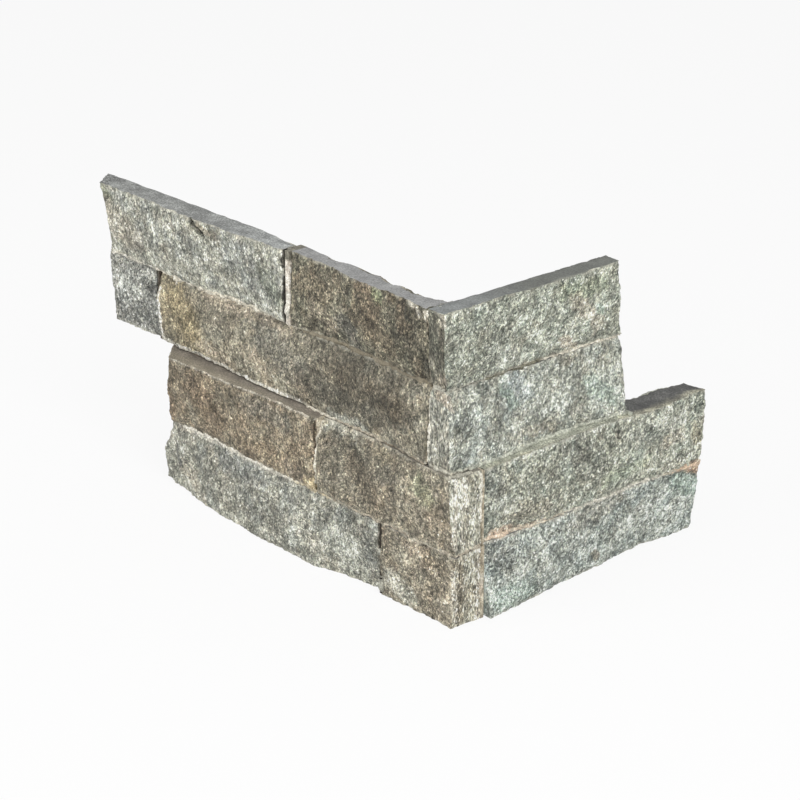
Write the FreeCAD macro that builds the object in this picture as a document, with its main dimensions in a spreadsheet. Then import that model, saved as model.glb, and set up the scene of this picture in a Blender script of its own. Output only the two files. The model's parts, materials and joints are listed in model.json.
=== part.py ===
"""Ledgestone corner piece: four courses of sawn stone strips with riven faces, glued into an L.

Millimetres, +Z up. The origin is where the wall's outside corner meets the foot of the piece. The
long leg lies along -X with its sawn backs in the plane y = 0, and the return lies along +Y with its
backs in the plane x = 0. Courses are numbered from the foot up.
"""
import FreeCAD, Part
import os
import random

COURSES = ("course_1", "course_2", "course_3", "course_4")
LONG_LEG_RUNS_THROUGH = ("course_1", "course_2")

# Driving sizes, in mm. A leg is measured from the wall's corner to its outermost end, and a setback
# says how far a course stops short of it. A butt share is how far along the long leg a course's butt
# joint lies. A depth is the mean distance from a stone's sawn back to its riven face.
SIZES = {
    "long_leg": 269.8,
    "return_leg": 151.5,
    "course_height": 37.4,
    "bed_gap": 0.8,
    "relief": 1.5,
    "facet_size": 5.0,
    "back_inset": 0.6,
    "bed_end_inset": 9.0,
    "butt_inset": 0.5,
    "course_1_bed_inset": 3.0,
    "course_2_bed_inset": 0.5,
    "course_3_bed_inset": 3.0,
    "chip_slope": 0.6,
    # foot course
    "course_1_long_setback": 57.8,
    "course_1_butt_share": 0.1119,
    "course_1_butt_gap": 1.6,
    "course_1_corner_gap": 1.8,
    "course_1_corner_proud": 2.0,
    "course_1_return_setback": 2.7,
    "course_1_outer_depth": 20.0,
    "course_1_inner_depth": 18.5,
    "course_1_return_depth": 20.5,
    # second course
    "course_2_long_setback": 65.8,
    "course_2_butt_share": 0.2854,
    "course_2_butt_gap": 1.0,
    "course_2_corner_gap": 0.8,
    "course_2_corner_proud": 1.0,
    "course_2_return_setback": 0.0,
    "course_2_outer_depth": 20.0,
    "course_2_inner_depth": 18.0,
    "course_2_return_depth": 21.0,
    # third course
    "course_3_long_setback": 11.8,
    "course_3_butt_share": 0.7932,
    "course_3_butt_gap": 1.0,
    "course_3_corner_gap": 0.8,
    "course_3_corner_proud": 3.0,
    "course_3_return_setback": 51.5,
    "course_3_outer_depth": 11.0,
    "course_3_inner_depth": 12.5,
    "course_3_return_depth": 13.0,
    # top course
    "course_4_long_setback": 0.0,
    "course_4_butt_share": 0.3918,
    "course_4_butt_gap": 4.6,
    "course_4_butt_rib": 2.8,
    "course_4_corner_gap": 0.8,
    "course_4_corner_proud": 3.5,
    "course_4_return_setback": 52.0,
    "course_4_outer_depth": 13.5,
    "course_4_inner_depth": 12.5,
    "course_4_return_depth": 11.0,
}

doc = FreeCAD.newDocument("LedgestoneCorner")
sheet = doc.addObject("Spreadsheet::Sheet", "sizes")
for line, (alias, value) in enumerate(SIZES.items(), start=1):
    sheet.set(f"A{line}", alias)
    sheet.set(f"B{line}", str(value))
    sheet.setAlias(f"B{line}", alias)
doc.recompute()


def size(alias):
    """The value of one sheet cell, in mm."""
    return float(getattr(sheet, alias))


# The riven faces
# Each row of numbers is read along the stone from its left end to its right end, as one faces it,
# and says how far the face stands in front of its mean depth (+) or behind it (-), in mm.
# left_end and right_end say how far an end falls short of its nominal place at the foot, the middle
# and the top of the stone, first along the face and then along the back.
# back_chip is the width broken off the arris between the back and the top.
SQUARE_END = {"face": (0, 0, 0), "back": (0, 0, 0)}
FACES = {
    "course_1_outer_stone": {
        "top": (-2, -2.5, -1, -1, -1),
        "middle": (-2, 1, 3, 2, -1.5),
        "bottom": (-6.5, 0.5, 3.5, 3, -6),
        "left_end": {"face": (2, 10, 16), "back": (0, 8, 14)},
    },
    "course_1_inner_stone": {
        "top": (0.3, 0.5, -0.5),
        "middle": (1, 1, 0),
        "bottom": (0, -0.8, -1),
        "right_end": {"face": (4, 1.5, 0), "back": (3, 3, 3)},
    },
    "course_1_return_stone": {
        "top": (-2.5, -0.2, 0.3, -0.3, 2.5),
        "middle": (1.5, 2.5, -0.5, -1.5, 0.5),
        "bottom": (3, 0, -2, -5, -2),
        "left_end": {"face": (1.6, 0.2, 0), "back": (1, 0, 0)},
        "right_end": {"face": (0.4, 0.3, 1.5), "back": (2, 1, 2)},
    },
    "course_2_outer_stone": {
        "top": (3, 1.5, 0, -1.5, -2),
        "middle": (1.5, 1.5, 1, 0.5, -0.5),
        "bottom": (-1.5, -2.5, -1, -1, -1),
        "left_end": {"face": (6.5, 9, 13.5), "back": (6, 4, 0)},
    },
    "course_2_inner_stone": {
        "top": (-4, -5.5, -4, -1.5, -0.5),
        "middle": (1.5, 0.5, 0.5, 1, 0.5),
        "bottom": (1, 1.5, 1, 1, 0.5),
        "right_end": {"face": (0, 4, 5.5), "back": (2.5, 2.5, 2.5)},
    },
    "course_2_return_stone": {
        "top": (-0.5, -1.2, -2, 2.2, -0.5),
        "middle": (-1, 0.5, 0.5, 1.5, 0.5),
        "bottom": (-4, -0.5, 0, -1, 2.5),
        "right_end": {"face": (5.3, 0.5, 1.2), "back": (4, 2, 2)},
        "back_chip": (1, 1, 1, 4.5, 8),
    },
    "course_3_outer_stone": {
        "top": (0, -1, -2.5),
        "middle": (1, 1.5, 0.5),
        "bottom": (-1, -0.7, -2),
        "left_end": {"face": (2.5, 3, 0.5), "back": (2, 1, 0)},
        "right_end": {"face": (0, 0.2, 3), "back": (0, 0, 0.5)},
    },
    "course_3_inner_stone": {
        "top": (-3, -2, -4, -2.5, -2.7, -1),
        "middle": (0.5, 1, 1, 0, 1, 2.5),
        "bottom": (-0.8, -0.8, 0.8, -0.2, -0.5, 4),
    },
    "course_3_return_stone": {
        "top": (-3, -3.8, -3.3, -3.5, -3.2),
        "middle": (0, 0.5, -0.5, -0.5, 0),
        "bottom": (2, 4.5, 0.7, 1.3, 3.8),
        "left_end": {"face": (0, 0.7, 2.5), "back": (0, 0.7, 2.5)},
        "right_end": {"face": (2.1, 0.2, 0.9), "back": (1.5, 1, 2)},
    },
    "course_4_outer_stone": {
        "top": (1.5, 0, 2, 1, -2),
        "middle": (0.5, 1, 1.5, 0, -1),
        "bottom": (-3, -3.5, -2, -5, -1.5),
        "left_end": {"face": (13, 16.5, 11), "back": (16, 12, 0)},
        "back_chip": (0.5, 0.5, 0.5, 0.5, 3),
    },
    "course_4_inner_stone": {
        "top": (-2.3, -1.7, 2.5, 2.3, 3.5),
        "middle": (-0.5, -0.5, 1, 2, 3),
        "bottom": (-0.5, -3, -4, -2, -0.5),
        "back_chip": (0.5, 3, 2.5, 3, 6.5, 6, 4),
    },
    "course_4_return_stone": {
        "top": (0, -1.5, 0.8, 0.5, -1),
        "middle": (0, 0.5, 1, 1, -0.5),
        "bottom": (-1.5, -1.5, -1.3, -1.5, -1.3),
        "left_end": {"face": (3, 0.7, 0), "back": (3, 0.7, 0)},
        "right_end": {"face": (0, 1.7, 3.1), "back": (0.5, 1.5, 1.5)},
    },
}

# Shares of the relief: long swells in the cleavage, each facet's own tilt, and what is left at an arris
SWELL = 0.75
SWELL_PITCH = 19.0
TILT = 0.5
ARRIS_SHARE = 0.4
# How far a facet's corner strays from its even place, as a share of the facet
JITTER = 0.28
# How far the width of a chip strays, and the least it comes to, in mm
CHIP_WANDER = 0.9
CHIP_LEAST = 0.4


def part_way(values, share):
    """The value at a share of the way along evenly spaced values."""
    place = share * (len(values) - 1)
    first = min(int(place), len(values) - 2)
    return values[first] + (values[first + 1] - values[first]) * (place - first)


def up_a_stone(bottom, middle, top, share):
    """A parabola through the values at the foot, the middle and the top."""
    return (bottom * (1 - share) * (1 - 2 * share)
            + middle * 4 * share * (1 - share)
            + top * share * (2 * share - 1))


def draw(*key):
    """A number from -1 to 1 that is always the same for the same key."""
    return random.Random(" ".join(str(word) for word in key)).uniform(-1, 1)


def swell(name, along, up):
    """Smooth noise from -1 to 1 with its lattice SWELL_PITCH apart."""
    column, row = int(along // SWELL_PITCH), int(up // SWELL_PITCH)
    right, above = along / SWELL_PITCH - column, up / SWELL_PITCH - row
    right, above = right * right * (3 - 2 * right), above * above * (3 - 2 * above)
    low = draw(name, column, row) * (1 - right) + draw(name, column + 1, row) * right
    high = draw(name, column, row + 1) * (1 - right) + draw(name, column + 1, row + 1) * right
    return low * (1 - above) + high * above


def riven_stone(name, depth, length):
    """A closed block in its own frame: length along +X, back at y = 0, face towards -Y, foot at z = 0."""
    face = FACES[name]
    height = size("course_height")
    columns = max(3, round(length / size("facet_size")))
    rows = max(3, round(height / size("facet_size")))

    def end_inset(side, strip, share):
        foot, middle, top = face.get(side, SQUARE_END)[strip]
        return max(0.0, up_a_stone(foot, middle, top, share))

    def point_on_face(column, row):
        inside = 0 < column < columns
        between = 0 < row < rows
        across = column + (JITTER * draw(name, "across", column, row) if inside else 0)
        upward = row + (JITTER * draw(name, "upward", column, row) if between else 0)
        share_along, share_up = across / columns, upward / rows
        left = end_inset("left_end", "face", share_up)
        right = end_inset("right_end", "face", share_up)
        along, up = left + (length - left - right) * share_along, height * share_up
        rough = size("relief") * (1 if between and inside else ARRIS_SHARE)
        stands = up_a_stone(*(part_way(face[strip], share_along) for strip in ("bottom", "middle", "top")),
                            share_up)
        noise = SWELL * swell(name, along, up) + TILT * draw(name, "tilt", column, row)
        return FreeCAD.Vector(along, -(depth + stands + rough * noise), up)

    def point_on_back(side, row):
        share = row / rows
        inset = end_inset(side, "back", share)
        return FreeCAD.Vector(inset if side == "left_end" else length - inset, 0, height * share)

    front = [[point_on_face(column, row) for row in range(rows + 1)] for column in range(columns + 1)]
    left_back = [point_on_back("left_end", row) for row in range(rows + 1)]
    right_back = [point_on_back("right_end", row) for row in range(rows + 1)]
    outlines = []

    def quad(a, b, c, d, flip):
        outlines.extend([(a, b, c), (a, c, d)] if flip else [(a, b, d), (b, c, d)])

    for column in range(columns):
        near, far = front[column], front[column + 1]
        for row in range(rows):
            quad(near[row], far[row], far[row + 1], near[row + 1], (column + row) % 2)

    # The arris between the back and the top, broken where the stone has a chip
    top_rim = back_rim = [left_back[-1], right_back[-1]]
    if "back_chip" in face:
        first, last = left_back[-1].x, right_back[-1].x
        top_rim, back_rim = [], []
        for column in range(columns + 1):
            share = column / columns
            wander = CHIP_WANDER * draw(name, "chip", column)
            width = max(CHIP_LEAST, part_way(face["back_chip"], share) + wander)
            along = first + (last - first) * share
            top_rim.append(FreeCAD.Vector(along, -width, height))
            back_rim.append(FreeCAD.Vector(along, 0, height - size("chip_slope") * width))
        left_back[-1], right_back[-1] = back_rim[0], back_rim[-1]
        for column in range(columns):
            quad(back_rim[column], top_rim[column], top_rim[column + 1], back_rim[column + 1], column % 2)
        outlines.append((back_rim[0], front[0][-1], top_rim[0]))
        outlines.append((back_rim[-1], top_rim[-1], front[-1][-1]))

    outlines.append(tuple(line[-1] for line in front) + tuple(reversed(top_rim)))
    outlines.append(tuple(line[0] for line in front) + (right_back[0], left_back[0]))
    outlines.append(tuple(left_back[:-1]) + tuple(back_rim) + tuple(reversed(right_back[:-1])))
    for row in range(rows):
        quad(left_back[row], front[0][row], front[0][row + 1], left_back[row + 1], row % 2)
        quad(front[-1][row], right_back[row], right_back[row + 1], front[-1][row + 1], row % 2)

    shell = Part.Shell([Part.Face(Part.makePolygon(list(points) + [points[0]])) for points in outlines])
    shell.sewShape()
    solid = Part.Solid(shell)
    if solid.Volume < 0:
        solid.reverse()
    return solid


def place(piece, **expressions):
    """Ties the corner of a piece to the sheet."""
    for axis, expression in expressions.items():
        piece.setExpression(f"Placement.Base.{axis}", expression)


def add_stone(name, depth, length, turned, **expressions):
    """One riven stone, turned a quarter turn if it belongs to the return."""
    piece = doc.addObject("Part::Feature", name)
    piece.Shape = riven_stone(name, depth, length)
    if turned:
        piece.Placement = FreeCAD.Placement(FreeCAD.Vector(), FreeCAD.Rotation(FreeCAD.Vector(0, 0, 1), 90))
    place(piece, **expressions)
    return piece


def add_adhesive(name, length, width, height, **expressions):
    """A flat bed or joint of cured adhesive, with its sides along the axes."""
    piece = doc.addObject("Part::Box", name)
    for side, expression in zip(("Length", "Width", "Height"), (length, width, height)):
        piece.setExpression(side, expression)
    place(piece, **expressions)
    return piece


def foot_of(course):
    return f"{COURSES.index(course)} * (sizes.course_height + sizes.bed_gap)"


def reach(leg, course):
    """How far a course reaches along a leg, as an expression on the sheet."""
    return f"(sizes.{leg}_leg - sizes.{course}_{leg}_setback)"


def butt_place(course):
    """How far the middle of a course's butt joint is from the wall's corner."""
    return f"(sizes.long_leg * sizes.{course}_butt_share)"


parts = []

# The stones of each course
for course in COURSES:
    foot = foot_of(course)
    butt_middle, butt_gap = size("long_leg") * size(f"{course}_butt_share"), size(f"{course}_butt_gap")
    corner_gap, proud = size(f"{course}_corner_gap"), size(f"{course}_corner_proud")
    long_reach = size("long_leg") - size(f"{course}_long_setback")
    return_reach = size("return_leg") - size(f"{course}_return_setback")
    outer_right = -(butt_middle + butt_gap / 2)
    inner_left = -(butt_middle - butt_gap / 2)
    if course in LONG_LEG_RUNS_THROUGH:
        inner_right = size(f"{course}_return_depth") + proud
        return_start = corner_gap
        start_expression = f"sizes.{course}_corner_gap"
    else:
        inner_right = -corner_gap
        return_start = -(size(f"{course}_inner_depth") + proud)
        start_expression = f"-(sizes.{course}_inner_depth + sizes.{course}_corner_proud)"
    parts.append(add_stone(
        f"{course}_outer_stone", size(f"{course}_outer_depth"),
        outer_right + long_reach, False,
        x=f"-{reach('long', course)}", z=foot))
    parts.append(add_stone(
        f"{course}_inner_stone", size(f"{course}_inner_depth"),
        inner_right - inner_left, False,
        x=f"-({butt_place(course)} - sizes.{course}_butt_gap / 2)", z=foot))
    parts.append(add_stone(
        f"{course}_return_stone", size(f"{course}_return_depth"),
        return_reach - return_start, True,
        y=start_expression, z=foot))

# The upright joints of each course
for course in COURSES:
    foot = foot_of(course)
    joint_depth = (f"min(sizes.{course}_outer_depth; sizes.{course}_inner_depth)"
                   f" - sizes.butt_inset - sizes.back_inset")
    if course == COURSES[-1]:
        # This wide joint is filled to half its depth, with a rib left standing on the inner stone's end
        filling = add_adhesive(
            f"{course}_butt_filling", f"sizes.{course}_butt_gap", f"({joint_depth}) / 2",
            "sizes.course_height",
            x=f"-({butt_place(course)} + sizes.{course}_butt_gap / 2)",
            y=f"-(sizes.back_inset + ({joint_depth}) / 2)", z=foot)
        rib = add_adhesive(
            f"{course}_butt_rib", f"sizes.{course}_butt_rib", joint_depth, "sizes.course_height",
            x=f"-({butt_place(course)} - sizes.{course}_butt_gap / 2 + sizes.{course}_butt_rib)",
            y=f"-(sizes.back_inset + {joint_depth})", z=foot)
        joint = doc.addObject("Part::Fuse", f"{course}_butt_joint")
        joint.Base, joint.Tool = filling, rib
        joint.Refine = True
    else:
        joint = add_adhesive(
            f"{course}_butt_joint", f"sizes.{course}_butt_gap", joint_depth, "sizes.course_height",
            x=f"-({butt_place(course)} + sizes.{course}_butt_gap / 2)",
            y=f"-(sizes.back_inset + {joint_depth})", z=foot)
    parts.append(joint)

    # The corner joint is behind whichever stone stops short of the corner
    if course in LONG_LEG_RUNS_THROUGH:
        corner_depth = f"sizes.{course}_return_depth - sizes.butt_inset - sizes.back_inset"
        corner = add_adhesive(
            f"{course}_corner_joint", corner_depth, f"sizes.{course}_corner_gap", "sizes.course_height",
            x="sizes.back_inset", y="0", z=foot)
    else:
        corner_depth = f"sizes.{course}_inner_depth - sizes.butt_inset - sizes.back_inset"
        corner = add_adhesive(
            f"{course}_corner_joint", f"sizes.{course}_corner_gap", corner_depth, "sizes.course_height",
            x=f"-sizes.{course}_corner_gap", y=f"-(sizes.back_inset + {corner_depth})", z=foot)
    parts.append(corner)

# The beds between the courses, each as deep as the shallower of the stones that it joins
for lower, upper in zip(COURSES, COURSES[1:]):
    level = f"{foot_of(upper)} - sizes.bed_gap"
    long_depth = (f"min(sizes.{lower}_outer_depth; sizes.{lower}_inner_depth;"
                  f" sizes.{upper}_outer_depth; sizes.{upper}_inner_depth) - sizes.{lower}_bed_inset")
    return_depth = (f"min(sizes.{lower}_return_depth; sizes.{upper}_return_depth)"
                    f" - sizes.{lower}_bed_inset")
    long_end = f"min({reach('long', lower)}; {reach('long', upper)}) - sizes.bed_end_inset"
    return_end = f"min({reach('return', lower)}; {reach('return', upper)}) - sizes.bed_end_inset"
    if upper in LONG_LEG_RUNS_THROUGH:
        past_corner, before_corner = f"({return_depth})", "0"
    else:
        past_corner, before_corner = "0", f"({long_depth})"
    parts.append(add_adhesive(
        f"{lower}_long_bed", f"{long_end} + {past_corner}", f"{long_depth} - sizes.back_inset",
        "sizes.bed_gap",
        x=f"-({long_end})", y=f"-({long_depth})", z=level))
    parts.append(add_adhesive(
        f"{lower}_return_bed", f"{return_depth} - sizes.back_inset", f"{return_end} + {before_corner}",
        "sizes.bed_gap",
        x="sizes.back_inset", y=f"-{before_corner}", z=level))

doc.recompute()

for item in doc.Objects:
    if "Invalid" in item.State or "Error" in item.State:
        raise RuntimeError(f"{item.Name} failed to build")
for item in parts:
    if item.Shape.isNull() or not item.Shape.isValid() or item.Shape.Volume <= 0:
        raise RuntimeError(f"{item.Name} has no sound solid")

os.makedirs("parts", exist_ok=True)
for item in parts:
    item.Label = item.Name
    item.Shape.exportStep(f"parts/{item.Label}.step")
    print(f"{item.Label}: {item.Shape.Volume / 1000:.1f} cm3, {len(item.Shape.Faces)} faces")
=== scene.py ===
"""A ledgestone corner piece: split quartzite strips glued into an L, lit softly on a pale floor."""

import json
import math

import bmesh
import bpy
import numpy as np
from mathutils import Matrix, Vector, noise
from mathutils.bvhtree import BVHTree

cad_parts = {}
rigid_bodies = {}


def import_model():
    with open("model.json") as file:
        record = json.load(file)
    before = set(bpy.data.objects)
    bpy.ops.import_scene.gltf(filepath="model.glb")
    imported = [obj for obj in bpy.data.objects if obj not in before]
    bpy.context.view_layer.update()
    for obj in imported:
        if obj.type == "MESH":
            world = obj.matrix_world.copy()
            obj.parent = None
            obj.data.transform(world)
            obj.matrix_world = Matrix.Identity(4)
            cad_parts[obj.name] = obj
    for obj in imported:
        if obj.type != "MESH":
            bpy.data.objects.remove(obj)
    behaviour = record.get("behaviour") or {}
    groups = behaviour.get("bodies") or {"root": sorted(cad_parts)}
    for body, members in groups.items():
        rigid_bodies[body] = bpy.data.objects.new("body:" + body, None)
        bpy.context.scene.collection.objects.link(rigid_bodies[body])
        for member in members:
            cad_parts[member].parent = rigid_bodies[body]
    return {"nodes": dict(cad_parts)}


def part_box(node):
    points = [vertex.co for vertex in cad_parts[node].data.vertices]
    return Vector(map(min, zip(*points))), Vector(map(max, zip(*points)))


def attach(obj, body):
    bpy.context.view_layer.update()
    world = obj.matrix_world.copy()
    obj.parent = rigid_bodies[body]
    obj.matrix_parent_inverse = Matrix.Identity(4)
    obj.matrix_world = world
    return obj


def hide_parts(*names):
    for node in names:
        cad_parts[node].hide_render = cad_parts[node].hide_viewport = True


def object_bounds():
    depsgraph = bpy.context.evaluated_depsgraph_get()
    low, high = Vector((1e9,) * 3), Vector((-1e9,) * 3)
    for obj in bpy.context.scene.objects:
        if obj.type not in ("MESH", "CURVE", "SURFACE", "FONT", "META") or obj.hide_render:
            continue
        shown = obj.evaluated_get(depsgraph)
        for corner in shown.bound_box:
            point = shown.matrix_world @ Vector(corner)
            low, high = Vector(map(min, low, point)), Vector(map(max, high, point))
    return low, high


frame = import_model()
cad_box = [list(corner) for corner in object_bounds()]
scene = bpy.context.scene

# The camera
# A long lens looks down a little at the wall's corner, turned towards the long leg, so that both
# legs and the sawn tops show. Its place was fitted to the stones' corners in the photograph.
AIM = Vector((-0.02283, -0.01230, 0.10043))
VIEW_TURN = math.radians(48.545)
VIEW_RISE = math.radians(22.186)
VIEW_DISTANCE = 1.02319
camera_data = bpy.data.cameras.new("camera")
camera_data.lens = 100.07
camera_data.sensor_width = 36.0
camera_data.clip_start = 0.05
backwards = Vector((math.sin(VIEW_TURN) * math.cos(VIEW_RISE),
                    -math.cos(VIEW_TURN) * math.cos(VIEW_RISE),
                    math.sin(VIEW_RISE)))
rightwards = Vector((math.cos(VIEW_TURN), math.sin(VIEW_TURN), 0.0))
upwards = backwards.cross(rightwards)
camera = bpy.data.objects.new("camera", camera_data)
camera.matrix_world = (Matrix.Translation(AIM + backwards * VIEW_DISTANCE)
                       @ Matrix((rightwards, upwards, backwards)).transposed().to_4x4())
scene.collection.objects.link(camera)
scene.camera = camera

# The floor and the light
# A white sheet that shows as plain white and keeps a faint shadow, under a white sky. One broad soft
# lamp stands above the return, and a weaker one fills the long leg.
FLOOR_SIZE = 6.0
FLOOR_TONE = 0.82
SHADOW_KEPT = 0.13
SKY_ON_OBJECT = 0.5
WHITE = (1.0, 1.0, 1.0, 1.0)


def shader_nodes(owner):
    """Empties a material's or a sky's nodes and gives the function that adds one, set and linked."""
    owner.use_nodes = True
    tree = owner.node_tree
    tree.nodes.clear()

    def add(kind, inputs=None, **settings):
        node = tree.nodes.new(kind)
        for setting, value in settings.items():
            setattr(node, setting, value)
        for socket, value in (inputs or {}).items():
            if isinstance(value, bpy.types.NodeSocket):
                tree.links.new(value, node.inputs[socket])
            else:
                node.inputs[socket].default_value = value
        return node

    return add


def maths(add, operation, first, second=0.5):
    return add("ShaderNodeMath", {0: first, 1: second}, operation=operation).outputs[0]


def shown_plainly(add):
    """Is 1 where a ray comes from the camera, straight or by way of gloss or glass, and 0 elsewhere."""
    ray = add("ShaderNodeLightPath").outputs
    either = maths(add, "MAXIMUM", ray["Is Camera Ray"], ray["Is Glossy Ray"])
    return maths(add, "MAXIMUM", either, ray["Is Transmission Ray"])


floor_material = bpy.data.materials.new("white_floor")
add = shader_nodes(floor_material)
white_share = maths(add, "MULTIPLY", shown_plainly(add), 1.0 - SHADOW_KEPT)
sheet = add("ShaderNodeBsdfDiffuse", {"Color": (FLOOR_TONE, FLOOR_TONE, FLOOR_TONE, 1.0)})
glow = add("ShaderNodeEmission", {"Color": WHITE, "Strength": 1.0})
mixed = add("ShaderNodeMixShader", {0: white_share, 1: sheet.outputs[0], 2: glow.outputs[0]})
add("ShaderNodeOutputMaterial", {"Surface": mixed.outputs[0]})

floor_mesh = bpy.data.meshes.new("floor")
floor_shape = bmesh.new()
bmesh.ops.create_grid(floor_shape, x_segments=1, y_segments=1, size=FLOOR_SIZE / 2)
floor_shape.to_mesh(floor_mesh)
floor_shape.free()
floor_mesh.materials.append(floor_material)
floor = bpy.data.objects.new("floor", floor_mesh)
scene.collection.objects.link(floor)

sky = bpy.data.worlds.new("white_sky")
scene.world = sky
add = shader_nodes(sky)
strength = add("ShaderNodeMapRange", {"Value": shown_plainly(add), "To Min": SKY_ON_OBJECT, "To Max": 1.0})
backdrop = add("ShaderNodeBackground", {"Color": WHITE, "Strength": strength.outputs[0]})
add("ShaderNodeOutputWorld", {"Surface": backdrop.outputs[0]})


def soft_lamp(name, place, width, watts):
    """A square soft box that looks at the object's middle."""
    data = bpy.data.lights.new(name, "AREA")
    data.size = width
    data.energy = watts
    lamp = bpy.data.objects.new(name, data)
    lamp.location = place
    lamp.rotation_euler = (AIM - Vector(place)).to_track_quat("-Z", "Y").to_euler()
    scene.collection.objects.link(lamp)


soft_lamp("key", place=(1.3, -0.5, 1.3), width=1.0, watts=22.0)
soft_lamp("fill", place=(-0.5, -1.6, 0.8), width=1.2, watts=14.0)

# The foot course's outer stone
# A strip of grey green quartzite, sawn flat on its top, foot and back and split along its face, so
# that its face bellies out near the foot. It is glued under the second course.
SPLIT, SAWN, END = 0, 1, 2
MERGE = 2e-5
RISER_FROM, RISER_RUN = 0.35, 0.3
SEED_SHIFT = (0.37, 0.11, 0.23)
FLAKE_PITCH, FLAKE_STEPS, FLAKE_HEIGHT = 0.011, 2.4, 0.0004
LUMP_PITCH, LUMP_HEIGHT, LUMP_FRACTAL = 0.0036, 0.0005, (0.6, 2.1, 3)
GRIT_PITCH, GRIT_HEIGHT = 0.0013, 0.00024


def eased(share):
    """Eases a share in near 0 and out near 1."""
    return share * share * (3 - 2 * share)


def steps(value):
    """Turns a smooth slope into ledges with soft risers, as cleaved stone has."""
    whole = math.floor(value)
    return whole + eased(min(max((value - whole - RISER_FROM) / RISER_RUN, 0.0), 1.0))


def relief_at(place, seed, upright):
    """How far a split face stands out at a place, in metres. upright stretches its grain upwards."""
    shifted = place + Vector([seed * share for share in SEED_SHIFT])
    grained = Vector((shifted.x, shifted.y, shifted.z * upright))
    flake = steps(noise.noise(grained / FLAKE_PITCH) * FLAKE_STEPS) * FLAKE_HEIGHT
    lump = noise.fractal(grained / LUMP_PITCH, *LUMP_FRACTAL) * LUMP_HEIGHT
    grit = noise.noise(grained / GRIT_PITCH) * GRIT_HEIGHT
    return flake + lump + grit


END_THICKNESS = 6.0
END_SET_IN = 3.5


def unrolled(places, on_return):
    """Places along and up a strip in mm, where along goes on round its end towards the corner."""
    if on_return:
        near_end = places[:, 1] < places[:, 1].min() + END_THICKNESS
        round_end = (places[:, 0].max() - places[:, 0] - END_SET_IN) * near_end
        return places[:, 1] - np.maximum(0.0, round_end), places[:, 2]
    near_end = places[:, 0] > places[:, 0].max() - END_THICKNESS
    round_end = (places[:, 1] - places[:, 1].min() - END_SET_IN) * near_end
    return places[:, 0] + np.maximum(0.0, round_end), places[:, 2]


STROKE_CORE, STROKE_FADE, NO_LENGTH = 1.6, 1.3, 1e-6


def stroke_share(along, up, stroke):
    """How strongly a soft brush stroke, from one place to another, covers each place."""
    start_along, start_up, end_along, end_up, half_width = stroke[:5]
    run = np.array((end_along - start_along, end_up - start_up))
    square = max(float(run @ run), NO_LENGTH)
    share = ((along - start_along) * run[0] + (up - start_up) * run[1]) / square
    share = np.clip(share, 0.0, 1.0)
    off = np.hypot(along - start_along - share * run[0], up - start_up - share * run[1])
    return eased(np.clip(STROKE_CORE - STROKE_FADE * off / half_width, 0.0, 1.0))


WANDER, WANDER_PITCH, WANDER_SEED = 3.5, 4.0, 1
FINE_WANDER_PITCH, FINE_WANDER_SHARE = 1.6, 0.4
BROAD_STROKE, SLACK_POWER = 4.0, 1.5
LEAST_AMOUNT = 1e-4
noise.seed_set(WANDER_SEED)


def paint_stains(mesh, on_return, stains, shades=()):
    """Lays soft strokes of colour and of shade on a mesh, as its attributes stain and shade.

    A stroke is its start and end (along and up, in mm) and half its width. A stain adds a tint and a
    strength to that, and a shade adds how many stops lighter it makes the stone. The strokes' outlines
    wander, those of thin stains less.
    """
    count = len(mesh.vertices)
    places = np.empty(count * 3)
    mesh.vertices.foreach_get("co", places)
    places = places.reshape(-1, 3) * 1000.0
    along, up = unrolled(places, on_return)
    drift = np.array([noise.noise_vector(Vector(p) / WANDER_PITCH)[:] for p in places]) * WANDER
    drift += (np.array([noise.noise_vector(Vector(p) / FINE_WANDER_PITCH)[:] for p in places])
              * WANDER * FINE_WANDER_SHARE)
    colour = np.zeros((count, 3))
    amount = np.zeros(count)
    for stain in stains:
        half_width, tint, strength = stain[4:]
        slack = min(1.0, (half_width / BROAD_STROKE) ** SLACK_POWER)
        share = stroke_share(along + drift[:, 0] * slack, up + drift[:, 1] * slack, stain) * strength
        colour = colour * (1 - share[:, None]) + np.array(tint)[None, :] * share[:, None]
        amount = amount * (1 - share) + share
    painted = amount[:, None] > LEAST_AMOUNT
    shown = np.where(painted, colour / np.maximum(amount[:, None], LEAST_AMOUNT), 0.0)
    layer = mesh.attributes.new("stain", "FLOAT_COLOR", "POINT")
    layer.data.foreach_set("color", np.hstack([shown, amount[:, None]]).astype(np.float32).ravel())
    shade = np.zeros(count)
    for stroke in shades:
        shade += stroke_share(along + drift[:, 0], up + drift[:, 1], stroke) * stroke[5]
    layer = mesh.attributes.new("shade", "FLOAT", "POINT")
    layer.data.foreach_set("value", shade.astype(np.float32))


CHIP_ROW, CHIP_STEP = 0.002, 0.0012
CHIP_PITCH, CHIP_FINER, CHIP_FINER_SHARE = 0.0045, 2.7, 0.5
CHIP_BIAS, CHIP_DEPTH, CHIP_DEEPEST, CHIP_DROP = 0.1, 0.0032, 0.8, 0.7


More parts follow.
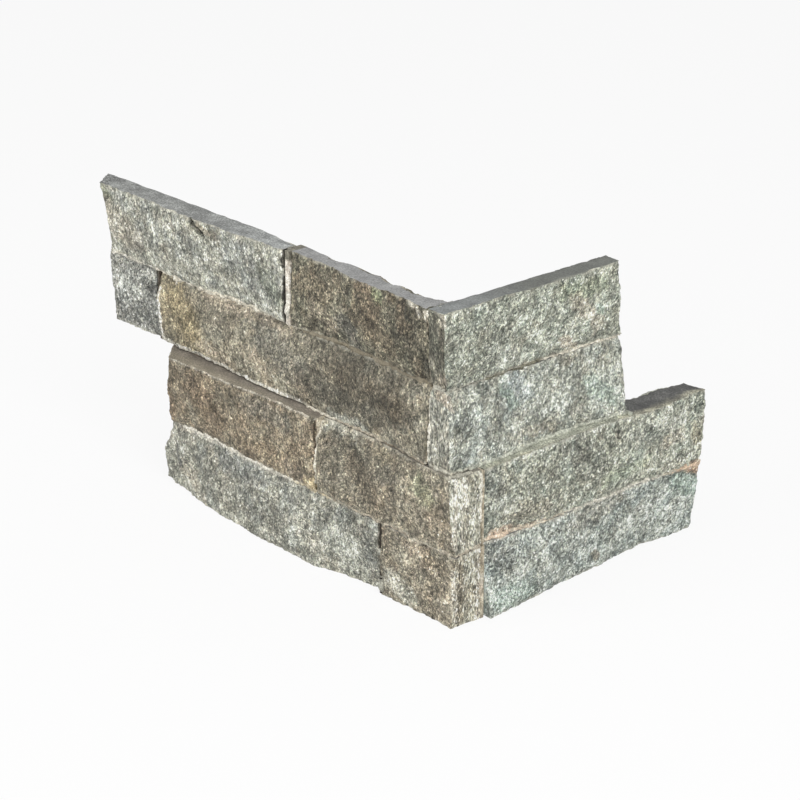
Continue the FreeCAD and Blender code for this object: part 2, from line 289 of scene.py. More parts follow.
def chip_back(stone, towards_wall, top, seed):
    """Nibbles the arris of a sawn top and the back where the solid leaves it whole, as bench knocks do."""
    for co, no in ((Vector((0, 0, top - CHIP_ROW)), Vector((0, 0, 1))),
                   (-towards_wall * CHIP_ROW, towards_wall)):
        bmesh.ops.bisect_plane(stone, geom=stone.verts[:] + stone.edges[:] + stone.faces[:],
                               plane_co=co, plane_no=no)

    def on_arris(vert):
        return vert.co.z > top - MERGE and abs(vert.co.dot(towards_wall)) < MERGE

    for edge in [edge for edge in stone.edges if all(on_arris(vert) for vert in edge.verts)]:
        cuts = max(1, int(edge.calc_length() / CHIP_STEP))
        bmesh.ops.subdivide_edges(stone, edges=[edge], cuts=cuts)
    bmesh.ops.triangulate(stone, faces=stone.faces)
    for vert in stone.verts:
        if on_arris(vert):
            chip = noise.noise(vert.co / CHIP_PITCH + Vector((0, 0, seed))) + CHIP_BIAS
            chip += CHIP_FINER_SHARE * noise.noise(vert.co / CHIP_PITCH * CHIP_FINER)
            chip = min(max(chip, 0.0) * CHIP_DEPTH, CHIP_ROW * CHIP_DEEPEST)
            vert.co -= towards_wall * chip + Vector((0, 0, chip * CHIP_DROP))


def fill_sawn_faces(stone, towards_wall):
    """Fills the flat top, foot and back afresh inside their ragged arrises, so that nothing folds."""
    for away in (Vector((0, 0, 1)), Vector((0, 0, -1)), towards_wall):
        reach = max(vert.co.dot(away) for vert in stone.verts)
        level = [face for face in stone.faces if face.material_index == SAWN
                 and all(vert.co.dot(away) > reach - MERGE for vert in face.verts)]
        bmesh.ops.dissolve_faces(stone, faces=level)
    bmesh.ops.triangulate(stone, faces=[face for face in stone.faces if len(face.verts) > 3])


def keep_in_box(shape):
    """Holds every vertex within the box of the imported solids."""
    low, high = cad_box
    for vert in shape.verts:
        vert.co = Vector(tuple(min(max(vert.co[k], low[k]), high[k]) for k in range(3)))


SAWN_COSINE = 0.999
END_COSINE = 0.8
LEVEL_COSINE = 0.5
LONG_EDGE, HALVINGS, CUTS = 0.007, 2, 7
SMOOTH_PASSES, SMOOTH_FACTOR = 12, 0.5
BRUISE_PITCH, BRUISE_BIAS = 0.0035, 0.15
BRUISE_REACH, BRUISE_DEPTH = 0.0022, 0.0011
DUST_REACH = 0.0017
END_RELIEF = 0.5
SHORTEST_WAY = 0.2


def mark_sawn_faces(stone, towards_wall, lengthwise, chipped, top):
    """Gives every face its kind. The nibbled strips beside a chipped arris count as sawn too."""
    for face in stone.faces:
        flat = max(abs(face.normal.z), face.normal.dot(towards_wall)) > SAWN_COSINE
        middle = face.calc_center_median()
        nibbled = chipped and middle.dot(towards_wall) > -CHIP_ROW and middle.z > top - CHIP_ROW
        level = abs(face.normal.dot(lengthwise)) < LEVEL_COSINE
        face.material_index = SAWN if flat or (nibbled and level) else SPLIT


def split_edges(stone):
    """The edges of the split faces, each once and always in the same order."""
    split = [face for face in stone.faces if face.material_index == SPLIT]
    return list(dict.fromkeys(edge for face in split for edge in face.edges))


def refine_split_faces(stone):
    """Halves the long edges of the split faces, and then divides them all into fine triangles."""
    for _ in range(HALVINGS):
        long_edges = [edge for edge in split_edges(stone) if edge.calc_length() > LONG_EDGE]
        bmesh.ops.subdivide_edges(stone, edges=long_edges, cuts=1)
        bmesh.ops.triangulate(stone, faces=stone.faces)
    bmesh.ops.subdivide_edges(stone, edges=split_edges(stone), cuts=CUTS, use_grid_fill=True)
    bmesh.ops.triangulate(stone, faces=stone.faces)


def along_sawn_faces(vert):
    """The way a vertex of an arris moves with its split faces while it stays in its sawn ones, or None."""
    split = [face.normal for face in vert.link_faces if face.material_index == SPLIT]
    direction = sum(split, Vector())
    for face in vert.link_faces:
        if face.material_index == SAWN:
            direction -= face.normal * direction.dot(face.normal)
    return None if direction.length < SHORTEST_WAY else direction.normalized()


def split_stone(name, seed, upright=0.8, stains=(), shades=(), cracks=(), pulled=(), chipped=False):
    """Works over a copy of a stone's solid: the split faces get ledges, lumps and bruised arrises.

    Each crack is a stroke and how deep it is in mm. pulled gives the places on the outer end, as (y, z,
    reach, how far out) in mm, where the split ran outwards.
    """
    node = frame["nodes"][name]
    on_return = "return" in name
    towards_wall = Vector((-1, 0, 0)) if on_return else Vector((0, 1, 0))
    lengthwise = Vector((0, 1, 0)) if on_return else Vector((1, 0, 0))
    stone = bmesh.new()
    stone.from_mesh(node.data)
    bmesh.ops.remove_doubles(stone, verts=stone.verts, dist=MERGE)
    height_layer = stone.verts.layers.float.new("height")
    dust_layer = stone.verts.layers.float.new("dust")
    foot = min(v.co.z for v in stone.verts)
    top = max(v.co.z for v in stone.verts)
    if chipped:
        chip_back(stone, towards_wall, top, seed)
    stone.normal_update()
    outer = {vert for face in stone.faces if face.normal.x < -END_COSINE for vert in face.verts}
    for y, z, reach, out in pulled:
        for vert in outer:
            off = min(1.0, math.hypot(vert.co.y * 1000 - y, vert.co.z * 1000 - z) / reach)
            vert.co.x -= out / 1000 * (1 - off * off) ** 2
    stone.normal_update()
    mark_sawn_faces(stone, towards_wall, lengthwise, chipped, top)
    refine_split_faces(stone)

    inner, arris = [], []
    for vert in stone.verts:
        kinds = {face.material_index for face in vert.link_faces}
        if kinds == {SPLIT}:
            inner.append(vert)
        elif len(kinds) == 2:
            arris.append(vert)
    for _ in range(SMOOTH_PASSES):
        bmesh.ops.smooth_vert(stone, verts=inner, factor=SMOOTH_FACTOR, use_axis_x=True,
                              use_axis_y=True, use_axis_z=True)
    stone.normal_update()
    moved = inner + arris
    along, up = unrolled(np.array([vert.co[:] for vert in moved]) * 1000.0, on_return)
    carved = np.zeros(len(moved))
    for crack in cracks:
        carved = np.maximum(carved, stroke_share(along, up, crack) * crack[5] / 1000.0)
    ways = [vert.normal.copy() for vert in inner] + [along_sawn_faces(vert) for vert in arris]
    for vert, way, depth in zip(moved, ways, carved):
        from_arris = min(vert.co.z - foot, top - vert.co.z)
        near_arris = max(0.0, 1 - from_arris / BRUISE_REACH)
        bruise = max(0.0, noise.noise(vert.co / BRUISE_PITCH + Vector((seed, 0, 0))) + BRUISE_BIAS)
        relief = relief_at(vert.co, seed, upright)
        if abs(vert.normal.dot(lengthwise)) > END_COSINE:
            relief *= END_RELIEF
        rise = relief - bruise * near_arris * BRUISE_DEPTH - depth
        vert[height_layer] = rise / (FLAKE_HEIGHT + LUMP_HEIGHT)
        vert[dust_layer] = max(0.0, 1 - from_arris / DUST_REACH)
        if way is not None:
            vert.co += way * rise
    keep_in_box(stone)
    fill_sawn_faces(stone, towards_wall)
    stone.normal_update()
    for edge in stone.edges:
        if len({face.material_index for face in edge.link_faces}) == 2:
            edge.smooth = False
    for face in stone.faces:
        face.smooth = face.material_index == SPLIT
        across = sum(vert.normal.dot(lengthwise) for vert in face.verts) / 3
        if face.smooth and abs(across) > END_COSINE:
            face.material_index = END
    mesh = bpy.data.meshes.new(name + "_split")
    stone.to_mesh(mesh)
    stone.free()
    paint_stains(mesh, on_return, stains, shades)
    piece = bpy.data.objects.new(name + "_split", mesh)
    scene.collection.objects.link(piece)
    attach(piece, "root")
    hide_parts(name)
    return piece


PATTERN_SHIFT = (1.0, 0.7, 1.3)
TURN_WITH_SLANT = 0.3


def seeded_place(add, seed, slant=0.0):
    """The place on the object, shifted so that no two stones share a pattern, and leant by slant."""
    place = add("ShaderNodeTexCoord").outputs["Object"]
    shift = [seed * share for share in PATTERN_SHIFT]
    return add("ShaderNodeMapping", {"Vector": place, "Location": shift,
                                     "Rotation": (slant, 0.0, slant * TURN_WITH_SLANT)}).outputs[0]


def noise_at(add, place, scale, detail, roughness=0.5):
    return add("ShaderNodeTexNoise", {"Vector": place, "Scale": scale, "Detail": detail,
                                      "Roughness": roughness}).outputs["Fac"]


def ranged(add, value, low, high, to_low=0.0, to_high=1.0):
    return add("ShaderNodeMapRange", {"Value": value, "From Min": low, "From Max": high,
                                      "To Min": to_low, "To Max": to_high}).outputs[0]


def laid_over(add, share, under, over):
    """One colour over another, each a tint or a node's colour."""
    under, over = [(*tint, 1.0) if isinstance(tint, tuple) else tint for tint in (under, over)]
    return add("ShaderNodeMix", {"Factor": share, 6: under, 7: over}, data_type="RGBA").outputs[2]


def weighed(add, value, middle_value, weight):
    """A texture's value about its middle, times a weight."""
    return maths(add, "MULTIPLY", maths(add, "SUBTRACT", value, middle_value), weight)


def summed(add, values):
    total = values[0]
    for value in values[1:]:
        total = maths(add, "ADD", total, value)
    return total


def brightened(add, colour, stops):
    """A colour made lighter by a number of stops."""
    return add("ShaderNodeVectorMath", {0: colour, "Scale": maths(add, "POWER", 2.0, stops)},
               operation="SCALE").outputs[0]


def finish_surface(add, colour, roughness, height, strength, distance, sheen=0.5):
    """Ends a material's nodes with its surface, finely bumped."""
    bump = add("ShaderNodeBump", {"Height": height, "Strength": strength, "Distance": distance})
    shader = add("ShaderNodeBsdfPrincipled", {"Base Color": colour, "Roughness": roughness,
                                              "Specular IOR Level": sheen, "Normal": bump.outputs[0]})
    add("ShaderNodeOutputMaterial", {"Surface": shader.outputs[0]})


LAYER_SQUEEZE = {"x": (1.3, 0.9, 0.55), "y": (0.9, 1.3, 0.55)}
BEND_SCALE, BEND = 420.0, 0.0012
CLOUDED = 0.45
COOL_SCALE, COOL_RANGE = 95.0, (0.47, 0.66)
WARM_SCALE, WARM_RANGE, WARM_SHIFT = 120.0, (0.5, 0.68), (5.0, 3.0, 1.0)
CLOUD_ROUGHNESS = 0.65
FINE_SCALE, FINE_STOPS = 1650.0, 1.8
COARSE_SCALE, COARSE_STOPS = 760.0, 1.1
STREAK_SCALE, STREAK_STOPS = 780.0, 2.9
BLOTCH_SCALE, BLOTCH_STOPS = 230.0, 3.2
CLOUD_SCALE, CLOUD_STOPS = 70.0, 2.6
SEAM_SCALE, SEAM_WIDTH, SEAM_MIDDLE, SEAM_STOPS = 430.0, 0.05, -0.2, 0.9
# A few grains are painted near white as glints of the quartz: painted highlights.
PAINTED_GLINT_RANGE, PAINTED_GLINT_MIDDLE, PAINTED_GLINT_STOPS = (0.88, 0.96), 0.1, 0.9
# Crests of the relief are painted lighter and hollows darker: partly the paler crushed crests and darker
# hollows of the stone, partly painted light and painted shade.
CREST_LIGHT_HOLLOW_SHADE_STOPS = 0.3
GRAIN_TINGE, GRAIN_BASE = (0.08, 0.04, 0.12), (0.96, 0.98, 0.94)
DUST, DUST_RANGE, DUST_SHARE = (0.5, 0.48, 0.40), (0.42, 0.6), 0.8
LIGHTEST = (0.9, 0.9, 0.88)
GRIT_IN_BUMP = 0.35
GLOSS_RANGE = (0.5, 0.9)


def quartzite(name, tone, cool, warm, seed, upright=0.75, slant=0.0, contrast=1.0, layers=None):
    """Split quartzite: sugary grains of quartz with thin dark mica between them, in clouds of colour.

    Its grain stands upright, or leans by slant. layers squeezes it across the given axis for an end,
    where the cleaved layers show as upright lines.
    """
    material = bpy.data.materials.new(name)
    add = shader_nodes(material)
    moved = seeded_place(add, seed, slant)
    scale = LAYER_SQUEEZE[layers] if layers else (1.0, 1.0, upright)
    grained = add("ShaderNodeMapping", {"Vector": moved, "Scale": scale}).outputs[0]
    bend = add("ShaderNodeTexNoise", {"Vector": grained, "Scale": BEND_SCALE, "Detail": 1.0})
    bend = add("ShaderNodeVectorMath", {0: bend.outputs["Color"], "Scale": BEND}, operation="SCALE")
    bent = add("ShaderNodeVectorMath", {0: grained, 1: bend.outputs[0]}, operation="ADD").outputs[0]

    cool_cloud = noise_at(add, grained, COOL_SCALE, 4.0, CLOUD_ROUGHNESS)
    ground = laid_over(add, ranged(add, cool_cloud, *COOL_RANGE, to_high=CLOUDED), tone, cool)
    warm_place = add("ShaderNodeMapping", {"Vector": grained, "Location": WARM_SHIFT}).outputs[0]
    warm_cloud = noise_at(add, warm_place, WARM_SCALE, 4.0, CLOUD_ROUGHNESS)
    ground = laid_over(add, ranged(add, warm_cloud, *WARM_RANGE, to_high=CLOUDED), ground, warm)
    stain = add("ShaderNodeAttribute", attribute_name="stain").outputs
    stained = laid_over(add, stain["Alpha"], ground, stain["Color"])

    fine = add("ShaderNodeTexVoronoi", {"Vector": bent, "Scale": FINE_SCALE}).outputs["Color"]
    fine_tone = add("ShaderNodeSeparateColor", {"Color": fine}).outputs
    coarse = add("ShaderNodeTexVoronoi", {"Vector": bent, "Scale": COARSE_SCALE}).outputs["Color"]
    coarse_tone = add("ShaderNodeSeparateColor", {"Color": coarse}).outputs
    streaks = noise_at(add, grained, STREAK_SCALE, 3.0, 0.7)
    blotches = noise_at(add, grained, BLOTCH_SCALE, 3.0, 0.6)
    clouds = noise_at(add, moved, CLOUD_SCALE, 3.0)
    seams = maths(add, "SUBTRACT", noise_at(add, bent, SEAM_SCALE, 2.0), 0.5)
    seams = ranged(add, maths(add, "ABSOLUTE", seams), 0.0, SEAM_WIDTH, -1.0, 0.0)
    painted_glint = ranged(add, fine_tone[1], *PAINTED_GLINT_RANGE)
    height = add("ShaderNodeAttribute", attribute_name="height").outputs["Fac"]
    shade = add("ShaderNodeAttribute", attribute_name="shade").outputs["Fac"]
    stops = summed(add, [weighed(add, fine_tone[0], 0.5, FINE_STOPS * contrast),
                         weighed(add, coarse_tone[0], 0.5, COARSE_STOPS * contrast),
                         weighed(add, streaks, 0.5, STREAK_STOPS * contrast),
                         weighed(add, blotches, 0.5, BLOTCH_STOPS * contrast),
                         weighed(add, clouds, 0.5, CLOUD_STOPS),
                         weighed(add, seams, SEAM_MIDDLE, SEAM_STOPS * contrast),
                         weighed(add, painted_glint, PAINTED_GLINT_MIDDLE, PAINTED_GLINT_STOPS * contrast),
                         # The height term paints crests lighter and hollows darker, partly as painted light
                         # and shade.
                         weighed(add, height, 0.0, CREST_LIGHT_HOLLOW_SHADE_STOPS * contrast),
                         shade])
    tinge = add("ShaderNodeVectorMath", {0: fine, 1: GRAIN_TINGE, 2: GRAIN_BASE},
                operation="MULTIPLY_ADD").outputs[0]
    colour = add("ShaderNodeVectorMath", {0: stained, 1: tinge}, operation="MULTIPLY").outputs[0]
    colour = brightened(add, colour, stops)
    dust = add("ShaderNodeAttribute", attribute_name="dust").outputs["Fac"]
    dusty = maths(add, "MULTIPLY", ranged(add, blotches, *DUST_RANGE, to_high=DUST_SHARE), dust)
    dusted = laid_over(add, dusty, colour, DUST)
    capped = add("ShaderNodeVectorMath", {0: dusted, 1: LIGHTEST}, operation="MINIMUM").outputs[0]
    grit = summed(add, [weighed(add, streaks, 0.0, 1.0), weighed(add, fine_tone[2], 0.0, GRIT_IN_BUMP)])
    gloss = ranged(add, fine_tone[2], 0.0, 1.0, *GLOSS_RANGE)
    finish_surface(add, capped, gloss, grit, strength=0.8, distance=0.0006, sheen=0.35)
    return material


SAWN_GRAIN_SCALE, SAWN_GRAIN_STOPS = 1100.0, 3.4
SAWN_CLOUD_SCALE, SAWN_CLOUD_STOPS = 130.0, 1.9
BREAK_WANDER, BREAK_RUN = 0.05, 0.004
FLECK_MIDDLE, FLECK_STOPS = 0.56, 6.0
FADE_WANDER, FADE_WANDER_FACTOR, FADE_WANDER_LEAST = 0.02, 1.5, 0.003
UPWARD = 0.3


def sawn_quartzite(name, tint, seed, broken_end=None, fades=(), back=None, mottle=1.0):
    """Sawn quartzite: an even tone with fine grains and soft marks, rougher past a broken end.

    Each fade is an axis, where along it another tone sets in and is reached, and that tone. Faces that
    don't look up take the tone of the back.
    """
    material = bpy.data.materials.new(name)
    add = shader_nodes(material)
    place = add("ShaderNodeTexCoord").outputs["Object"]
    moved = seeded_place(add, seed)
    grains = noise_at(add, moved, SAWN_GRAIN_SCALE, 3.0, 0.7)
    clouds = noise_at(add, moved, SAWN_CLOUD_SCALE, 4.0)
    stops = summed(add, [weighed(add, grains, 0.5, SAWN_GRAIN_STOPS * mottle),
                         weighed(add, clouds, 0.5, SAWN_CLOUD_STOPS * mottle)])
    along = add("ShaderNodeSeparateXYZ", {"Vector": place}).outputs
    if broken_end is not None:
        ragged = summed(add, [along[0], weighed(add, clouds, 0.5, BREAK_WANDER)])
        broken = ranged(add, ragged, broken_end, broken_end + BREAK_RUN, 1.0, 0.0)
        flecks = weighed(add, grains, FLECK_MIDDLE, FLECK_STOPS)
        stops = summed(add, [stops, maths(add, "MULTIPLY", flecks, broken)])
    ground = tint
    for axis, fade_from, fade_to, other_tint in fades:
        wander = min(FADE_WANDER, abs(fade_to - fade_from) * FADE_WANDER_FACTOR + FADE_WANDER_LEAST)
        ragged = summed(add, [along[axis], weighed(add, clouds, 0.5, wander)])
        ground = laid_over(add, ranged(add, ragged, fade_from, fade_to), ground, other_tint)
    facing = add("ShaderNodeSeparateXYZ", {"Vector": add("ShaderNodeNewGeometry").outputs["Normal"]})
    looks_up = maths(add, "GREATER_THAN", facing.outputs[2], UPWARD)
    ground = laid_over(add, looks_up, back or tint, ground)
    finish_surface(add, brightened(add, ground, stops), 0.65, grains, strength=0.35, distance=0.0004)
    return material


def finish_stone(piece, split, sawn, end):
    for material in (split, sawn, end):
        piece.data.materials.append(material)


SLATE_BLUE = (0.27, 0.31, 0.33)
PINK_BEIGE = (0.43, 0.37, 0.29)
CHARCOAL = (0.12, 0.125, 0.115)
BONE = (0.70, 0.67, 0.58)
CREAM = (0.66, 0.61, 0.50)
PALE = (0.52, 0.54, 0.47)
stone = split_stone(
    "course_1_outer_stone", seed=1,
    stains=[(-150, 30, -120, 31, 6, SLATE_BLUE, 0.2), (-188, 14, -176, 11, 6, PINK_BEIGE, 0.3),
            (-192, 24, -191, 14, 2.2, CHARCOAL, 0.8), (-190, 37, -100, 37, 1.2, BONE, 0.45),
            (-166, 3, -166, 3, 3, CREAM, 0.6), (-191, 36, -180, 37, 2.2, CREAM, 0.6),
            (-62, 20, -42, 14, 9, PALE, 0.4), (-128, 24, -122, 10, 6, CHARCOAL, 0.3),
            (-98, 30, -84, 33, 5, CHARCOAL, 0.3), (-34, 30, -32, 10, 4, CHARCOAL, 0.3)],
    shades=[(-180, 29, -140, 28, 8, -0.3), (-45, 28, -36, 26, 10, -0.6), (-74, 10, -45, 8, 8, 0.25),
            (-74, 28, -66, 27, 9, -0.3), (-50, 30, -40, 24, 9, -0.35), (-100, 12, -94, 14, 9, -0.25),
            (-126, 29, -119, 27, 8, -0.25)],
    pulled=[(-19, 19, 10, 3)])
finish_stone(
    stone,
    split=quartzite("foot_grey_green", (0.30, 0.30, 0.25), (0.275, 0.30, 0.28), (0.36, 0.33, 0.265),
                    seed=1.0, upright=0.8),
    sawn=sawn_quartzite("foot_sawn", (0.24, 0.245, 0.235), seed=1.0),
    end=quartzite("foot_end", (0.24, 0.23, 0.19), (0.25, 0.27, 0.24), (0.32, 0.27, 0.2), seed=1.5,
                  layers="y"))

# The foot course's inner stone
# A short brown strip that runs through the corner, so its split end shows on the return's side.
UMBER = (0.13, 0.10, 0.065)
stone = split_stone(
    "course_1_inner_stone", seed=2,
    stains=[(-22, 10, -12, 6, 8, PALE, 0.35), (4, 31, 14, 30, 4, UMBER, 0.4),
            (-20, 34, 2, 33, 3, PINK_BEIGE, 0.15), (24, 36, 24, 2, 2.2, UMBER, 0.5),
            (21, 30, 21, 4, 1.6, CREAM, 0.5), (36, 36, 36, 2, 2.5, CREAM, 0.5)],
    shades=[(-14, 10, 8, 9, 9, 0.35), (3, 29, 10, 26, 8, -0.4)])
finish_stone(
    stone,
    split=quartzite("foot_brown", (0.25, 0.225, 0.17), (0.25, 0.25, 0.20), (0.30, 0.24, 0.17), seed=2.0,
                    upright=0.85, contrast=1.05),
    sawn=sawn_quartzite("foot_brown_sawn", (0.22, 0.21, 0.19), seed=2.0),
    end=quartzite("foot_brown_end", (0.34, 0.325, 0.255), (0.46, 0.46, 0.38), (0.38, 0.32, 0.225),
                  seed=2.5, layers="y", contrast=1.45))

# The foot course's return stone
# A blue grey strip, darker towards the corner, glued against the back of the inner stone's end.
SALMON = (0.56, 0.41, 0.29)
SEA_GREEN = (0.24, 0.32, 0.27)
BEIGE = (0.36, 0.31, 0.235)
stone = split_stone(
    "course_1_return_stone", seed=3,
    stains=[(2, 38, 16, 24, 9, CHARCOAL, 0.5), (17, 20, 38, 18, 4, PALE, 0.6),
            (137, 36.2, 153, 35.4, 2.4, SALMON, 0.9), (144, 34, 154, 32.2, 2.6, SALMON, 0.9),
            (128, 37.4, 140, 37, 1.6, SALMON, 0.8), (4, 37, 120, 37, 1, BONE, 0.3),
            (8, 8, 30, 6, 6, SEA_GREEN, 0.4), (132, 32, 146, 24, 6, SEA_GREEN, 0.5),
            (60, 30, 92, 34, 6, BEIGE, 0.3), (77, 8, 79, 6, 2.5, UMBER, 0.6),
            (96, 16, 118, 22, 6, PALE, 0.3)],
    shades=[(10, 12, 22, 10, 10, 0.35), (128, 12, 140, 14, 11, 0.35), (60, 28, 66, 24, 9, 0.2)])
finish_stone(
    stone,
    split=quartzite("foot_blue_grey", (0.33, 0.355, 0.315), (0.29, 0.345, 0.33), (0.38, 0.37, 0.31),
                    seed=3.0, slant=0.7, contrast=1.12),
    sawn=sawn_quartzite("foot_blue_sawn", (0.22, 0.23, 0.225), seed=3.0),
    end=quartzite("foot_blue_end", (0.28, 0.30, 0.27), (0.27, 0.33, 0.33), (0.36, 0.35, 0.29), seed=3.5,
                  layers="x"))

# The second course's outer stone
# It stands proud of the course above, so its dark sawn top shows as a ledge. Its face is rusty.
RUST = (0.16, 0.115, 0.075)
# The near black tone below is painted shade, laid into carved cracks and on stone ends that face open joint
# gaps.
CRACK_SHADE_BLACK = (0.03, 0.028, 0.022)
YELLOW = (0.60, 0.50, 0.32)
# The near black stroke in its crack, at along -77, is painted shade.
stone = split_stone(
    "course_2_outer_stone", seed=4,
    stains=[(-202, 66, -196, 48, 10, RUST, 0.5), (-170, 66, -158, 52, 10, RUST, 0.4),
            (-150, 50, -110, 44, 6, UMBER, 0.3), (-130, 70, -100, 66, 6, CHARCOAL, 0.3),
            (-98, 45, -84, 41, 4, PINK_BEIGE, 0.3), (-200, 75.6, -84, 75.6, 0.9, CREAM, 0.6),
            (-77, 73, -76.7, 64, 0.8, CRACK_SHADE_BLACK, 0.6), (-83, 41.2, -74, 41, 3.3, YELLOW, 0.95)],
    shades=[(-192, 66, -180, 64, 9, -0.3), (-145, 68, -132, 62, 9, -0.4), (-165, 46, -112, 46, 8, 0.28),
            (-95, 48, -88, 46, 6, -0.25)],
    cracks=[(-77, 73, -76.7, 64, 0.9, 1.2)],
    pulled=[(0, 76, 16, 10)])
finish_stone(
    stone,
    split=quartzite("second_rust", (0.205, 0.175, 0.125), (0.19, 0.19, 0.15), (0.26, 0.20, 0.13),
                    seed=4.0, upright=0.8),
    sawn=sawn_quartzite("second_sawn_ledge", (0.29, 0.26, 0.205), seed=4.0, back=(0.19, 0.17, 0.14),
                        mottle=1.3, fades=[(1, -0.0195, -0.0145, (0.195, 0.172, 0.142))]),
    end=quartzite("second_rust_end", (0.18, 0.14, 0.10), (0.18, 0.17, 0.13), (0.26, 0.17, 0.10), seed=4.5,
                  layers="y"))

# The second course's inner stone
# A brown strip that runs through the corner. Its split end is cream with dark upright layers.
MOSS = (0.15, 0.19, 0.10)
OCHRE = (0.27, 0.222, 0.125)
stone = split_stone(
    "course_2_inner_stone", seed=5,
    stains=[(-70, 74, -52, 73, 4, PALE, 0.3), (-6, 66, 2, 62, 5, MOSS, 0.3),
            (6, 52, 14, 50, 3, PINK_BEIGE, 0.2), (-50, 60, -34, 48, 7, UMBER, 0.3),
            (-36, 71, -26, 70, 4, OCHRE, 0.15), (20.5, 72, 20.5, 42, 1.6, CREAM, 0.7),
            (26, 74, 26, 42, 2.6, CREAM, 0.35)],
    shades=[(-64, 64, -34, 60, 14, -0.35), (-64, 50, -56, 48, 9, -0.35), (28, 60, 28, 44, 2, -0.3)])
finish_stone(
    stone,
    split=quartzite("second_brown", (0.225, 0.205, 0.155), (0.22, 0.215, 0.17), (0.28, 0.225, 0.155),
                    seed=5.0, upright=0.85),
    sawn=sawn_quartzite("second_brown_sawn", (0.20, 0.185, 0.155), seed=5.0),
    end=quartzite("second_brown_end", (0.40, 0.395, 0.32), (0.46, 0.48, 0.40), (0.46, 0.42, 0.31),
                  seed=5.5, layers="y", contrast=1.25))

# The second course's return stone
# It stands proud of the course above it and reaches past it, so its dark sawn top shows twice.
ORANGE = (0.74, 0.57, 0.43)
# The charcoal stroke at its corner end, and the darkening down its edge there, are painted shade where the
# face lies back behind the inner stone's end.
stone = split_stone(
    "course_2_return_stone", seed=6,
    stains=[(0, 76, 8, 64, 6, CHARCOAL, 0.6), (140, 39.5, 153, 39.5, 1.2, SALMON, 0.6),
            (7, 40.6, 20, 39.8, 2.6, ORANGE, 0.75), (20, 39.4, 40, 38.6, 1.2, ORANGE, 0.5),
            (20, 75.5, 98, 75.5, 1.6, PALE, 0.5), (58, 72, 72, 58, 9, CHARCOAL, 0.4),
            (18, 50, 40, 46, 6, BEIGE, 0.35), (8, 56, 20, 52, 5, PALE, 0.35),
            (100, 66, 132, 62, 7, PALE, 0.3), (122, 54, 134, 56, 4, PINK_BEIGE, 0.35),
            (142, 60, 146, 50, 4, OCHRE, 0.3), (80, 48, 110, 48, 4, MOSS, 0.25)],
    shades=[(36, 67, 70, 65, 9, -0.25), (85, 66, 112, 64, 9, -0.3), (108, 48, 136, 50, 9, 0.22),
            (134, 66, 140, 64, 7, 0.15), (1, 74, 4, 40, 5, -0.2)])
finish_stone(
    stone,
    split=quartzite("second_green_grey", (0.31, 0.32, 0.262), (0.28, 0.335, 0.29), (0.355, 0.325, 0.25),
                    seed=6.0, slant=0.7, contrast=1.12),
    sawn=sawn_quartzite("second_ledge", (0.40, 0.41, 0.34), seed=6.0, back=(0.20, 0.205, 0.18),
                        mottle=2.2,
                        fades=[(1, 0.099, 0.101, (0.068, 0.068, 0.064)),
                               (0, 0.0165, 0.0215, (0.26, 0.25, 0.19))]),
    end=quartzite("second_green_end", (0.28, 0.29, 0.24), (0.27, 0.32, 0.28), (0.34, 0.31, 0.24),
                  seed=6.5, layers="x"))

# The third course's outer stone
# The shortest strip, blue grey and dark low down, at the piece's outer end.
# The olive black tone below is painted shade, laid into the chipped wedge at the butt joint between this
# stone and the inner one.
CHIP_SHADE_OLIVE = (0.055, 0.053, 0.035)
stone = split_stone(
    "course_3_outer_stone", seed=7, upright=0.75,
    stains=[(-250, 86, -222, 84, 8, CHARCOAL, 0.25), (-246, 100, -226, 98, 3, PALE, 0.4),
            (-215.8, 113.5, -213.8, 102, 2.4, CHIP_SHADE_OLIVE, 0.95)],
    shades=[(-226, 105, -224, 85, 9, -0.15), (-246, 88, -244, 84, 8, 0.12)],
    cracks=[(-215.8, 113.5, -213.8, 103, 2.2, 1.2)])
finish_stone(
    stone,
    split=quartzite("third_blue_grey", (0.275, 0.28, 0.25), (0.265, 0.285, 0.28), (0.33, 0.315, 0.265),
                    seed=7.0, contrast=1.15),
    sawn=sawn_quartzite("third_blue_sawn", (0.22, 0.225, 0.22), seed=7.0),
    end=quartzite("third_blue_end", (0.24, 0.25, 0.24), (0.25, 0.29, 0.31), (0.33, 0.32, 0.28), seed=7.5,
                  layers="y"))

